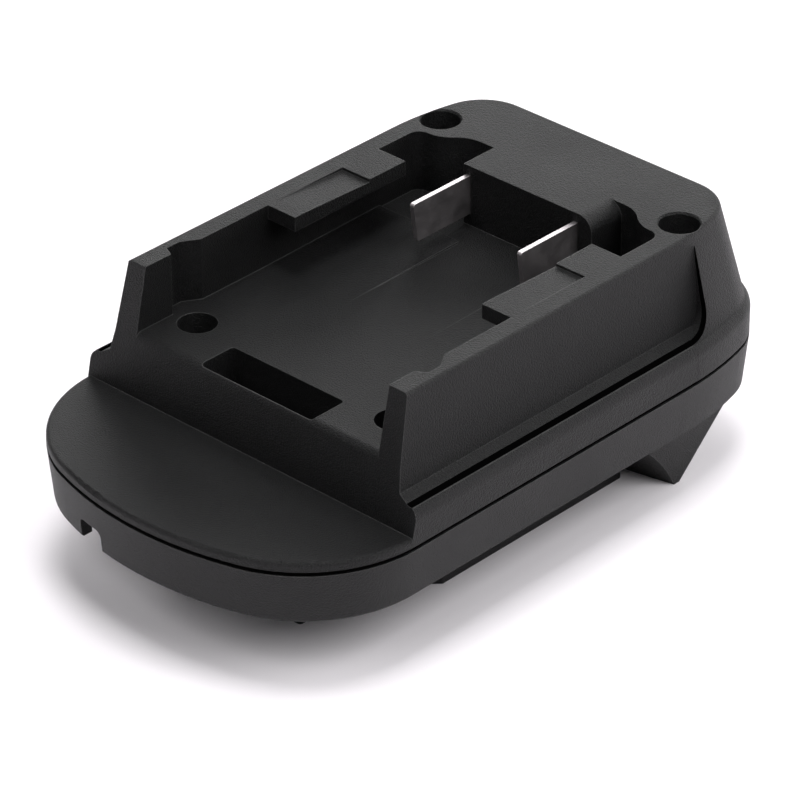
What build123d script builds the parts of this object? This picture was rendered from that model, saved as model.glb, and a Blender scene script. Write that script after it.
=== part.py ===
from build123d import *
from math import atan2, cos, degrees, radians, sin, sqrt, tan
import os

# Tool battery adapter: a shell that carries a slide-on battery pack in an open channel on its upper side
# and slides on to a tool's foot with the rails of a tower on its lower side.
# Millimetres. +Z is up, X = 0 is the plane of symmetry, the rounded front is at -Y, the terminals at +Y.
# Origin: the middle of the base, on the plane that the rails and the stop lip rest on.

# Overall size
overall_length = 132.8
flange_width = 82.0

# Heights of the outer forms, stacked from the base up
skirt_bottom = 13.75
skirt_height = 10.55
plate_rise = 2.4
flange_rise = 5.5
floor_rise = 6.5
channel_depth = 12.7

# Outline of both shells: a rounded front, straight sides and softened rear corners
front_arc_radius = 72.0
front_corner_radius = 27.0
side_arc_radius = 70.0
side_arc_run = 29.6
rear_corner_radius = 16.4

# Shell walls, drafts and the lap joint between the shells
wall = 2.4
seam_gap = 0.5
skirt_draft = 1.0
skirt_edge = 0.45
flange_edge_radius = 2.4
body_foot_inset = 0.64
body_top_inset = 6.4
body_edge_radius = 0.9
plate_edge_radius = 0.8
lap_height = 1.0
lap_width = 1.1
lap_clearance = 0.15

# Raked front of the raised body
rake_foot_run = 28.3
rake_slope = 0.2186
floor_edge_radius = 1.6

# Battery channel, its ledges and the ramped floor strips
rim_width = 4.3
notch_depth = 2.2
notch_run = 40.1
notch_length = 7.7
notch_lead = 3.4
ledge_width = 7.0
ledge_run = 36.6
ledge_length = 29.8
ledge_thickness = 3.0
ledge_slope_start = 2.3
ledge_slope_length = 17.7
ledge_slope_depth = 0.6
core_slot_run = 9.4
core_slot_length = 6.0
core_slot_rise = 4.1
core_slot_height = 1.8
core_slot_depth = 0.9
centre_strip_share = 0.3234
ramp_run = 37.4
ramp_length = 30.9
ramp_rise = 0.45
catch_width_share = 0.462
catch_set_back = 2.9
catch_length = 8.2
catch_depth = 8.0
catch_wall = 2.0
catch_corner_radius = 0.8

# Terminal block and the wells on each side of it, from the rear forward
well_end_inset = 22.4
well_corner_run = 6.6
well_corner_radius = 2.4
well_width = 12.3
block_length = 8.5
block_left_gap = 3.4
block_right_gap = 0.6
block_wall = 2.0
block_shoulder_radius = 3.2

# Long recessed panels in the outer walls, as insets from the flange
panel_end_inset = 22.2
panel_corner_radius = 5.5
panel_top_gap = 0.7
panel_top_inset = 6.3
panel_middle_rise = 4.2
panel_middle_inset = 5.3
panel_foot_rise = 1.4
panel_foot_inset = 4.6
panel_shelf_drop = 0.2
panel_shelf_inset = 2.2
panel_groove_width = 0.65
panel_groove_depth = 0.6

# Blades that meet the battery, and the holder that stands between them
blade_inset = 1.2
blade_thickness = 1.0
blade_reach = 15.7
blade_foot_gap = 2.5
blade_top_gap = 2.0
blade_lean = 1.2
blade_tail_width = 4.0
blade_tail_clearance = 0.3
holder_clearance = 0.1
holder_side_gap = 0.5
holder_depth = 6.0
holder_foot_thickness = 2.2
holder_foot_end = 2.6
holder_screw_gap = 3.6

# Housing screws: one size, in four deep wells
front_screw_gap = 5.5
front_screw_run = 41.0
rear_screw_side_inset = 11.1
rear_screw_rear_inset = 20.8
front_well_radius = 3.8
rear_well_radius = 3.9
rear_well_edge = 0.35
well_wall = 1.8
screw_seat_thickness = 3.4
screw_head_radius = 2.9
screw_head_height = 2.2
screw_head_edge = 0.7
screw_radius = 1.5
screw_length = 11.5
screw_clearance = 0.3
thread_clearance = 0.05
cross_recess_width = 0.9
cross_recess_length = 3.2
cross_recess_depth = 1.2
boss_wall = 2.6
boss_floor = 1.2

# Tower with the rails that the tool slides on to
tower_half_width = 17.4
tower_run = 23.8
tower_edge_radius = 0.8
nose_length = 25.3
rail_width = 9.6
rail_height = 4.6
rail_groove_height = 5.4
rail_groove_depth = 5.5
rail_lead = 2.0
rail_end_gap = 0.9
key_half_width = 6.5
key_depth = 3.0

# Stop lip behind the rails, bowed in plan and finned in section
lip_side_gap = 5.0
lip_bow_radius = 154.8
lip_tip_inset = 31.5
lip_tip_width = 1.4
lip_bulge_run = 5.5
lip_bulge_share = 0.4362
lip_foot_run = 22.5
lip_heel_run = 19.8

# Notch in the front of the skirt
skirt_notch_x = -13.4
skirt_notch_width = 6.6
skirt_notch_height = 4.55
skirt_notch_radius = 1.4

# Contacts for the tool: four cells in the nose of the tower
power_contact_share = 0.6322
signal_contact_share = 0.1724
power_slot_width = 2.2
signal_slot_width = 1.6
slot_top_gap = 0.75
clip_strip = 0.35
power_clip_gap = 0.8
signal_clip_gap = 0.6
clip_length = 11.0
clip_top_gap = 0.95
clip_tail_width = 1.6
clip_clearance = 0.15
carrier_clearance = 0.1
carrier_length = 15.0

# Board over the contacts, with its resistor and the small screws
board_thickness = 1.6
board_overhang = 1.2
board_length = 22.0
board_clearance = 0.1
board_screw_inset = 2.4
small_screw_radius = 0.9
small_screw_head_radius = 1.6
small_screw_head_height = 1.1
small_screw_length = 4.4
small_screw_slot = 0.5
resistor_length = 3.2
resistor_width = 1.6
resistor_height = 0.6

# Release latch, its guide posts and springs, and the bridge that holds the springs
latch_travel = 4.0
latch_clearance = 0.3
latch_seat_height = 1.6
latch_plate_thickness = 2.2
latch_plate_end = 5.0
latch_plate_front_run = 11.0
latch_plate_rear_run = 5.5
latch_arm_half_width = 5.5
hook_run = 15.0
hook_length = 5.0
hook_ramp = 3.0
hook_stand_off = 0.4
post_screw_gap = 12.9
post_inset = 14.4
post_radius = 2.1
post_clearance = 0.1
post_collar = 1.3
spring_wire = 0.6
spring_inner_clearance = 0.3
spring_height = 12.0
bridge_end = 4.6
bridge_depth = 8.0
bridge_thickness = 2.0

# Release button in the rear wall, with the shutter that closes its slot
button_half_width = 12.0
button_height = 9.0
button_rise = 3.85
button_set_back = 1.2
button_ridge_count = 3
button_ridge_height = 0.5
button_ridge_width = 1.0
shutter_overlap = 1.2
shutter_thickness = 1.8
shutter_set_back = 1.7

# Leads from the blades to the board
lead_radius = 1.1
lead_bend_radius = 4.0
lead_drop_inset = 2.5
sleeve_wall = 0.35
sleeve_length = 6.0
sleeve_clearance = 0.05

# Overrun of every cut, so that no cutter ends on the face that it opens
overrun = 1.0

# Levels that follow from the sizes above
seam_height = skirt_bottom + skirt_height
plate_top = seam_height + plate_rise
flange_top = plate_top + flange_rise
floor_height = flange_top + floor_rise
wall_top = floor_height + channel_depth
upper_bottom = seam_height + seam_gap / 2
rim_top = seam_height - seam_gap / 2
tongue_top = upper_bottom + lap_height
deck_bottom = skirt_bottom + skirt_notch_height + seam_gap
deck_top = deck_bottom + wall
ceiling = wall_top - wall
floor_underside = floor_height - wall
body_foot_z = flange_top - flange_edge_radius
rail_groove_top = rail_height + rail_groove_height
rake_angle = degrees(atan2(rake_slope, 1))
screw_seat = seam_height + screw_seat_thickness
screw_tip = screw_seat - screw_length
key_floor = key_depth + wall
slot_height = skirt_bottom - slot_top_gap
lip_bulge_z = deck_bottom * lip_bulge_share
latch_bottom = deck_top + latch_seat_height + latch_clearance
latch_top = latch_bottom + latch_plate_thickness
spring_top = latch_top + spring_height
blade_bottom_z = floor_height + blade_foot_gap
blade_height = channel_depth - blade_foot_gap - blade_top_gap
tail_bottom = latch_top + latch_travel + blade_tail_clearance
lead_height = tail_bottom + lead_radius
board_bottom = deck_top + board_clearance
board_top = board_bottom + board_thickness
button_bottom_z = skirt_bottom + button_rise
shutter_top = button_bottom_z + button_height + latch_travel + shutter_overlap
panel_top_z = wall_top - panel_top_gap
panel_shelf_z = flange_top - panel_shelf_drop
panel_foot_z = panel_shelf_z + panel_foot_rise
panel_middle_z = panel_foot_z + panel_middle_rise

# Places along Y: the front ones follow the front, the rear ones the rear
front_y = -overall_length / 2
rear_y = overall_length / 2
side_arc_start = rear_y - side_arc_run
rake_foot_y = front_y + rake_foot_run
notch_start_y = front_y + notch_run
catch_front_y = rake_foot_y + catch_set_back
front_screw_y = front_y + front_screw_run
tower_front_y = front_y + tower_run
rail_start_y = tower_front_y + nose_length
board_front_y = tower_front_y + tower_edge_radius
board_rear_y = board_front_y + board_length
lead_drop_y = board_rear_y - lead_drop_inset
carrier_front_y = tower_front_y + wall + carrier_clearance
carrier_rear_y = carrier_front_y + carrier_length
rear_inner_y = rear_y - wall
well_end_y = rear_y - well_end_inset
well_corner_y = well_end_y - well_corner_run
block_front_y = well_end_y - block_length
ledge_start_y = block_front_y - ledge_run
ramp_start_y = block_front_y - ramp_run
panel_end_y = rear_y - panel_end_inset
rear_screw_y = rear_y - rear_screw_rear_inset
blade_tip_y = block_front_y - blade_reach
blade_wall_y = block_front_y + block_wall
holder_front_y = blade_wall_y + holder_clearance
blade_heel_y = holder_front_y + holder_depth
tail_front_y = blade_heel_y - blade_tail_width
lip_tip_y = rear_y - lip_tip_inset
lip_bulge_y = lip_tip_y - lip_bulge_run
lip_foot_y = lip_tip_y - lip_foot_run
rail_end_y = lip_tip_y - rail_end_gap
hook_y = rail_end_y - hook_run
post_y = rear_y - post_inset
latch_plate_front_y = post_y - latch_plate_front_run
latch_plate_rear_y = post_y + latch_plate_rear_run
shutter_front_y = rear_inner_y - shutter_set_back - shutter_thickness

# Places and widths across X
half_width = flange_width / 2
body_room_inset = panel_foot_inset + wall
channel_half_width = half_width - body_top_inset - rim_width
ledge_inner_x = channel_half_width - ledge_width
centre_strip_half_width = channel_half_width * centre_strip_share
catch_half_width = channel_half_width * catch_width_share
well_inner_x = channel_half_width - well_width
block_left_x = well_inner_x - block_left_gap
block_right_x = well_inner_x - block_right_gap
blade_x = block_left_x - blade_inset
holder_half_width = blade_x - blade_thickness / 2 - holder_side_gap
holder_screw_x = blade_x + holder_screw_gap
holder_foot_half_width = holder_screw_x + holder_foot_end
front_screw_x = channel_half_width - front_screw_gap
rear_screw_x = half_width - rear_screw_side_inset
boss_radius = screw_radius + boss_wall
rail_half_width = tower_half_width + rail_width
rail_neck_half_width = rail_half_width - rail_groove_depth
lip_half_width = half_width - lip_side_gap
power_contact_x = tower_half_width * power_contact_share
signal_contact_x = tower_half_width * signal_contact_share
board_half_width = tower_half_width + board_overhang
board_screw_x = board_half_width - board_screw_inset
post_x = rear_screw_x - post_screw_gap
latch_plate_half_width = post_x + latch_plate_end
bridge_half_width = post_x + bridge_end


def outline_centres():
    """Centres of the front arc, front corner, side arc and rear corner, which every inset outline shares."""
    front = Vector(0, front_y + front_arc_radius)
    corner_x = half_width - front_corner_radius
    corner_reach = front_arc_radius - front_corner_radius
    corner = Vector(corner_x, front.Y - sqrt(corner_reach**2 - corner_x**2))
    side = Vector(half_width - side_arc_radius, side_arc_start)
    rear_reach = side_arc_radius - rear_corner_radius
    rise = rear_y - rear_corner_radius - side_arc_start
    rear = Vector(side.X + sqrt(rear_reach**2 - rise**2), rear_y - rear_corner_radius)
    return front, corner, side, rear


def outline(inset, mode=Mode.ADD):
    """The shells' outline, drawn in by an inset, as a face of the sketch that is open."""
    front, corner, side, rear = outline_centres()
    front_turn = degrees(atan2(corner.X, front.Y - corner.Y))
    side_turn = degrees(atan2(rear.Y - side.Y, rear.X - side.X))
    with BuildLine() as edge:
        CenterArc(front, front_arc_radius - inset, -90, front_turn)
        CenterArc(corner, front_corner_radius - inset, front_turn - 90, 90 - front_turn)
        Line((half_width - inset, corner.Y), (half_width - inset, side_arc_start))
        CenterArc(side, side_arc_radius - inset, 0, side_turn)
        CenterArc(rear, rear_corner_radius - inset, side_turn, 90 - side_turn)
        Line((rear.X, rear_y - inset), (0, rear_y - inset))
        mirror(about=Plane.YZ)
    make_face(edge.edges(), mode=mode)


def rake_y(z, setback=0.0):
    """Y of the raked front at a height, moved back by a thickness."""
    return rake_foot_y + rake_slope * (z - plate_top) + setback / cos(radians(rake_angle))


def body_inset(z):
    """How far the raised body's drafted wall stands inside the outline at a height."""
    draft = (body_top_inset - body_foot_inset) / (wall_top - body_foot_z)
    return body_foot_inset + draft * (z - body_foot_z)


def box(x0, x1, y0, y1, z0, z1, mode=Mode.ADD):
    """A block between two corners, in the part that is open."""
    with Locations(((x0 + x1) / 2, (y0 + y1) / 2, (z0 + z1) / 2)):
        Box(abs(x1 - x0), abs(y1 - y0), abs(z1 - z0), mode=mode)


def rod(x, y, z0, z1, radius, mode=Mode.ADD):
    """An upright cylinder between two heights, in the part that is open."""
    with Locations((x, y, (z0 + z1) / 2)):
        Cylinder(radius, z1 - z0, mode=mode)


# Places of the four housing screws, each with its well's radius and the height that the well opens at
screw_wells = [
    (side * x, y, radius, top)
    for x, y, radius, top in (
        (front_screw_x, front_screw_y, front_well_radius, floor_height),
        (rear_screw_x, rear_screw_y, rear_well_radius, wall_top),
    )
    for side in (1, -1)
]

# Upper housing
# The raised body: flange, drafted walls and the raked front, before anything is cut from it
with BuildPart() as raised_body:
    with BuildSketch(Plane.XY.offset(upper_bottom)):
        outline(0)
    extrude(amount=flange_top - upper_bottom)
    fillet(raised_body.faces().sort_by(Axis.Z)[-1].edges(), flange_edge_radius)
    with BuildSketch(Plane.XY.offset(body_foot_z)):
        outline(body_foot_inset)
    with BuildSketch(Plane.XY.offset(wall_top)):
        outline(body_top_inset)
    loft(ruled=True)
    fillet(raised_body.faces().sort_by(Axis.Z)[-1].edges(), body_edge_radius)
    split(bisect_by=Plane(origin=(0, rake_foot_y, plate_top), z_dir=(0, 1, -rake_slope)), keep=Keep.TOP)

# The room inside the upper housing, behind the raked front: flange level, body level and rear deck level
with BuildPart() as upper_room:
    with BuildSketch(Plane.XY.offset(upper_bottom - overrun)):
        outline(wall)
    extrude(amount=panel_shelf_z - panel_groove_depth - wall - upper_bottom + overrun)
    with BuildSketch(Plane.XY.offset(upper_bottom)):
        outline(body_room_inset)
    extrude(amount=floor_underside - upper_bottom)
    with BuildSketch(Plane.XY.offset(upper_bottom)):
        outline(body_inset(ceiling) + wall)
        with Locations((0, well_end_y + block_wall - overall_length / 2)):
            Rectangle(flange_width, overall_length, mode=Mode.SUBTRACT)
    extrude(amount=ceiling - upper_bottom)
    box(
        block_wall - block_left_x,
        block_right_x - block_wall,
        blade_wall_y,
        well_end_y + block_wall + overrun,
        upper_bottom,
        ceiling,
    )
    setback = rake_y(plate_top, wall)
    split(bisect_by=Plane(origin=(0, setback, plate_top), z_dir=(0, 1, -rake_slope)), keep=Keep.TOP)

# The long recess of an outer wall: a panel with a sloping shelf at its foot, and a fine groove round its edge
with BuildPart() as panel_cutter:
    with BuildSketch(Plane.XZ.offset(-panel_end_y)):
        top_z = wall_top + overrun
        lean = (panel_top_inset - panel_middle_inset) / (panel_top_z - panel_middle_z)
        Polygon(
            (half_width - panel_top_inset - lean * (top_z - panel_top_z), top_z),
            (half_width - panel_middle_inset, panel_middle_z),
            (half_width - panel_foot_inset, panel_foot_z),
            (half_width - panel_shelf_inset, panel_shelf_z),
            (half_width + overrun, panel_shelf_z),
            (half_width + overrun, top_z),
            align=None,
        )
    extrude(amount=panel_end_y - front_y)
    with BuildSketch(Plane.YZ) as panel_side:
        with Locations(((front_y + panel_end_y) / 2 - overrun, panel_shelf_z)):
            Rectangle(panel_end_y - front_y + overrun * 2, wall_top, align=(Align.CENTER, Align.MIN))
        fillet(panel_side.vertices().group_by(Axis.Y)[-1].sort_by(Axis.Z)[0], panel_corner_radius)
    extrude(amount=half_width + overrun * 2, mode=Mode.INTERSECT)
    with BuildSketch(Plane.YZ.offset(half_width - panel_shelf_inset)):
        add(panel_side.sketch)
        offset(amount=panel_groove_depth, kind=Kind.INTERSECTION)
    extrude(amount=panel_groove_width)

# Plan of the battery channel: straight sides with a lead-in notch, and a well on each side of the block
with BuildSketch(Plane.XY.offset(floor_height)) as channel_plan:
    notch_end = notch_start_y + notch_length
    corner_top = (channel_half_width - well_corner_radius, well_corner_y + well_corner_radius)
    swing_middle = ((corner_top[0] + well_inner_x) / 2, (corner_top[1] + well_end_y) / 2)
    with BuildLine():
        Polyline(
            (0, front_y),
            (channel_half_width, front_y),
            (channel_half_width, notch_start_y),
            (channel_half_width + notch_depth, notch_start_y + notch_depth / 2),
            (channel_half_width + notch_depth, notch_end - notch_lead),
            (channel_half_width, notch_end),
            (channel_half_width, well_corner_y),
        )
        TangentArc((channel_half_width, well_corner_y), corner_top, tangent=(0, 1))
        TangentArc(corner_top, swing_middle, tangent=(-1, 0))
        TangentArc((well_inner_x, well_end_y), swing_middle, tangent=(1, 0))
        Polyline((well_inner_x, well_end_y), (0, well_end_y))
        mirror(about=Plane.YZ)
    make_face()
    with Locations(((block_right_x - block_left_x) / 2, block_front_y)):
        Rectangle(
            block_left_x + block_right_x,
            overall_length,
            align=(Align.CENTER, Align.MIN),
            mode=Mode.SUBTRACT,
        )

# Box of the catch pocket under the floor, and the screw columns, inside the raised body's skin
catch_rear_y = catch_front_y + catch_length
catch_bottom = floor_height - catch_depth
with BuildPart() as inner_columns:
    box(
        -catch_half_width - catch_wall,
        catch_half_width + catch_wall,
        rake_y(catch_bottom, wall / 2),
        catch_rear_y + catch_wall,
        catch_bottom - catch_wall,
        floor_height - wall / 2,
    )
    for x, y, radius, top in screw_wells:
        rod(x, y, upper_bottom, top - wall / 2, radius + well_wall)
    add(raised_body.part, mode=Mode.INTERSECT)

with BuildPart() as upper_housing:
    with BuildSketch(Plane.XY.offset(upper_bottom)):
        outline(0)
    extrude(amount=plate_top - upper_bottom)
    fillet(upper_housing.faces().sort_by(Axis.Z)[-1].edges(), plate_edge_radius)
    add(raised_body.part)
    add(upper_room.part, mode=Mode.SUBTRACT)

    add(inner_columns.part)

    # Open battery channel
    add(channel_plan.sketch)
    extrude(amount=wall_top - floor_height + overrun, mode=Mode.SUBTRACT)

    # Soft edge where the floor turns down into the raked front
    with BuildSketch(Plane.YZ):
        turn = radians(90 - rake_angle)
        reach = floor_edge_radius * tan(turn / 2)
        lip_y = rake_y(floor_height)
        foot = Vector(lip_y, floor_height) + Vector(-rake_slope, -1).normalized() * reach
        arc_centre = Vector(lip_y + reach, floor_height - floor_edge_radius)
        arc_middle = arc_centre + Vector(-sin(turn / 2), cos(turn / 2)) * floor_edge_radius
        with BuildLine():
            ThreePointArc((lip_y + reach, floor_height), arc_middle, foot)
            Polyline(
                foot,
                (lip_y - reach - overrun, foot.Y),
                (lip_y - reach - overrun, floor_height + overrun),
                (lip_y + reach, floor_height + overrun),
                (lip_y + reach, floor_height),
            )
        make_face()
    extrude(amount=channel_half_width, both=True, mode=Mode.SUBTRACT)

    # Ramped strips of the floor beside the flat centre strip
    ramp_end_y = ramp_start_y + ramp_length
    for side in (1, -1):
        with BuildSketch(Plane.YZ.offset(side * centre_strip_half_width)):
            Polygon(
                (ramp_start_y, floor_height - wall / 2),
                (ramp_start_y, floor_height),
                (ramp_end_y, floor_height + ramp_rise),
                (ramp_end_y, floor_height - wall / 2),
                align=None,
            )
        extrude(amount=side * (channel_half_width - centre_strip_half_width))

    # Ledges that hold the battery down, each with a slope cut in its top and a core slot in the wall below
    slope_y = ledge_start_y + ledge_slope_start
    slope_end_y = slope_y + ledge_slope_length
    slot_y = ledge_start_y + core_slot_run
    slot_z = floor_height + core_slot_rise
    for side in (1, -1):
        box(
            side * ledge_inner_x,
            side * (channel_half_width + wall / 2),
            ledge_start_y,
            ledge_start_y + ledge_length,
            wall_top - ledge_thickness,
            wall_top,
        )
        with BuildSketch(Plane.YZ.offset(side * (ledge_inner_x - overrun))):
            Polygon(
                (slope_y, wall_top),
                (slope_end_y, wall_top - ledge_slope_depth),
                (slope_end_y, wall_top + overrun),
                (slope_y, wall_top + overrun),
                align=None,
            )
        extrude(amount=side * (ledge_width + overrun), mode=Mode.SUBTRACT)
        box(
            side * (channel_half_width - overrun),
            side * (channel_half_width + core_slot_depth),
            slot_y,
            slot_y + core_slot_length,
            slot_z,
            slot_z + core_slot_height,
            mode=Mode.SUBTRACT,
        )

    # Long recessed panels, right and left
    add(panel_cutter.part, mode=Mode.SUBTRACT)
    add(mirror(panel_cutter.part, about=Plane.YZ, mode=Mode.PRIVATE), mode=Mode.SUBTRACT)

    # Catch pocket for the battery's latch
    with BuildSketch(Plane.XY.offset(catch_bottom)) as catch_plan:
        with Locations((0, catch_front_y + catch_length / 2)):
            Rectangle(catch_half_width * 2, catch_length)
        fillet(catch_plan.vertices(), catch_corner_radius)
    extrude(amount=catch_depth + overrun, mode=Mode.SUBTRACT)

    # Screw wells and the holes through their seats
    for side in (1, -1):
        with Locations((side * rear_screw_x, rear_screw_y, wall_top)):
            Cone(
                rear_well_radius,
                rear_well_radius + rear_well_edge,
                rear_well_edge,
                align=(Align.CENTER, Align.CENTER, Align.MAX),
                mode=Mode.SUBTRACT,
            )
    for x, y, radius, top in screw_wells:
        rod(x, y, screw_seat, top + overrun, radius, mode=Mode.SUBTRACT)
        rod(
            x,
            y,
            upper_bottom - overrun,
            screw_seat + overrun,
            screw_radius + screw_clearance,
            mode=Mode.SUBTRACT,
        )

    # Slots for the blades in the block's front wall, with room for their tails
    for side in (1, -1):
        box(
            side * blade_x - blade_thickness / 2 - holder_clearance,
            side * blade_x + blade_thickness / 2 + holder_clearance,
            block_front_y - overrun,
            blade_heel_y + holder_clearance,
            blade_bottom_z - holder_clearance,
            blade_bottom_z + blade_height + holder_clearance,
            mode=Mode.SUBTRACT,
        )
        box(
            side * blade_x - blade_thickness / 2 - holder_clearance,
            side * blade_x + blade_thickness / 2 + holder_clearance,
            tail_front_y - holder_clearance,
            blade_heel_y + holder_clearance,
            floor_underside - overrun,
            blade_bottom_z,
            mode=Mode.SUBTRACT,
        )
        rod(
            side * holder_screw_x,
            (holder_front_y + blade_heel_y) / 2,
            floor_underside - overrun,
            floor_underside + small_screw_length - holder_foot_thickness,
            small_screw_radius + thread_clearance,
            mode=Mode.SUBTRACT,
        )

    # Groove for the lower housing's tongue, and the slot for the release button
    with BuildSketch(Plane.XY.offset(upper_bottom)):
        outline(wall - lap_width - lap_clearance)
        outline(wall + lap_clearance, mode=Mode.SUBTRACT)
    extrude(amount=lap_height + lap_clearance, mode=Mode.SUBTRACT)
    button_slot_top = button_bottom_z + button_height + latch_travel + latch_clearance
    box(
        -button_half_width - latch_clearance,
        button_half_width + latch_clearance,
        shutter_front_y,
        rear_y + overrun,
        upper_bottom - overrun,
        button_slot_top,
        mode=Mode.SUBTRACT,
    )
    box(
        -button_half_width - shutter_overlap - latch_clearance,
        button_half_width + shutter_overlap + latch_clearance,
        rear_y - body_room_inset - overrun,
        shutter_front_y + shutter_thickness + latch_clearance,
        upper_bottom - overrun,
        shutter_top + latch_travel + latch_clearance,
        mode=Mode.SUBTRACT,
    )
    # Rounded right shoulder of the terminal block
    shoulder = upper_housing.edges().filter_by(Axis.Y).filter_by(
        lambda e: abs(e.center().X - block_right_x) < thread_clearance
        and e.center().Z > wall_top - thread_clearance
    )
    fillet(shoulder, block_shoulder_radius)

upper_housing.part.label = "upper_housing"

# Lower housing
# The skirt with its deck, before the tower and the lip are added
with BuildPart() as skirt_shell:
    with BuildSketch(Plane.XY.offset(skirt_bottom)):
        outline(skirt_draft)
    with BuildSketch(Plane.XY.offset(rim_top)):
        outline(0)
    loft(ruled=True)
    chamfer(skirt_shell.faces().sort_by(Axis.Z)[0].edges(), skirt_edge)
    with BuildSketch(Plane.XY.offset(skirt_bottom - overrun)):
        outline(skirt_draft + wall)
    extrude(amount=deck_bottom - skirt_bottom + overrun, mode=Mode.SUBTRACT)
    with BuildSketch(Plane.XY.offset(deck_top)):
        outline(wall)
    extrude(amount=rim_top - deck_top + overrun, mode=Mode.SUBTRACT)
    with BuildSketch(Plane.XY.offset(rim_top - lap_height)):
        outline(wall - lap_width)
        outline(wall, mode=Mode.SUBTRACT)
    extrude(amount=tongue_top - rim_top + lap_height)

# The stop lip, solid: its section turned about an upright axis behind the housing
lip_axis = Axis((0, lip_tip_y + lip_bow_radius, 0), (0, 0, 1))
lip_heel_y = lip_tip_y + lip_tip_width + lip_heel_run


def lip_section():
    """Outline of the stop lip's section, as edges of the line that is open."""
    ThreePointArc((lip_tip_y, 0), (lip_bulge_y, lip_bulge_z), (lip_foot_y, deck_bottom))
    Polyline(
        (lip_foot_y, deck_bottom),
        (lip_foot_y, deck_top),
        (lip_heel_y, deck_top),
        (lip_heel_y, deck_bottom),
        (lip_tip_y + lip_tip_width, 0),
        (lip_tip_y, 0),
    )


lip_turn = degrees(atan2(lip_half_width + wall, lip_bow_radius - lip_heel_run))
with BuildPart() as lip_solid:
    with BuildSketch(Plane.YZ):
        with BuildLine() as section_line:
            lip_section()
        make_face()
    revolve(axis=lip_axis, revolution_arc=lip_turn)
    mirror(about=Plane.YZ)
    with BuildSketch():
        outline(skirt_draft)
        Rectangle(lip_half_width * 2, overall_length, mode=Mode.INTERSECT)
    extrude(amount=deck_top, mode=Mode.INTERSECT)

# The room inside the lip, open to the inside of the housing
with BuildPart() as lip_room:
    with BuildSketch(Plane.YZ):
        with BuildLine() as room_line:
            lip_section()
        make_face()
        offset(amount=-wall, kind=Kind.INTERSECTION, mode=Mode.REPLACE)
    revolve(axis=lip_axis, revolution_arc=lip_turn)
    mirror(about=Plane.YZ)
    room_top = lip_room.faces().sort_by(Axis.Z)[-1]
    extrude(room_top, amount=wall + overrun, dir=(0, 0, 1))
    with BuildSketch():
        Rectangle((lip_half_width - wall) * 2, overall_length)
    extrude(amount=deck_top + overrun, mode=Mode.INTERSECT)

with BuildPart() as lower_housing:
    add(skirt_shell.part)
    add(lip_solid.part)

    # Nose of the tower
    with BuildSketch() as nose:
        with Locations((0, (tower_front_y + rail_start_y) / 2)):
            Rectangle(tower_half_width * 2, rail_start_y - tower_front_y)
        fillet(nose.vertices().group_by(Axis.Y)[0], tower_edge_radius)
    extrude(amount=deck_top)

    # Rails that the tool slides on to: a wide foot, a narrower neck and a wide shoulder under the deck
    with BuildSketch(Plane.XZ.offset(-rail_end_y)):
        Polygon(
            (0, 0),
            (rail_half_width, 0),
            (rail_half_width, rail_height),
            (rail_neck_half_width, rail_height),
            (rail_neck_half_width, rail_groove_top),
            (rail_half_width, rail_groove_top),
            (rail_half_width, deck_top),
            (0, deck_top),
            align=None,
        )
        mirror(about=Plane.YZ)
    extrude(amount=rail_end_y - rail_start_y)
    leading = lower_housing.edges().filter_by(Axis.Z).filter_by(
        lambda e: abs(e.center().Y - rail_start_y) < thread_clearance
        and abs(e.center().X) > rail_neck_half_width
    )
    chamfer(leading.filter_by(lambda e: e.center().Z < rail_height), rail_lead)

    # Rooms: over the contacts, over the rails and in the lip
    box(
        wall - tower_half_width,
        tower_half_width - wall,
        tower_front_y + wall,
        rail_start_y,
        key_floor,
        deck_top + overrun,
        mode=Mode.SUBTRACT,
    )
    box(
        wall - rail_neck_half_width,
        rail_neck_half_width - wall,
        rail_start_y + wall,
        lip_bulge_y,
        key_floor,
        deck_top + overrun,
        mode=Mode.SUBTRACT,
    )
    add(lip_room.part, mode=Mode.SUBTRACT)

# Columns that stand in the lip: two for the rear screws, two for the latch's guide posts
with BuildPart() as lip_columns:
    for side in (1, -1):
        rod(side * rear_screw_x, rear_screw_y, 0, deck_top, boss_radius)
        rod(side * post_x, post_y, 0, deck_top, post_radius + post_collar)
    add(lip_solid.part, mode=Mode.INTERSECT)

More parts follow.
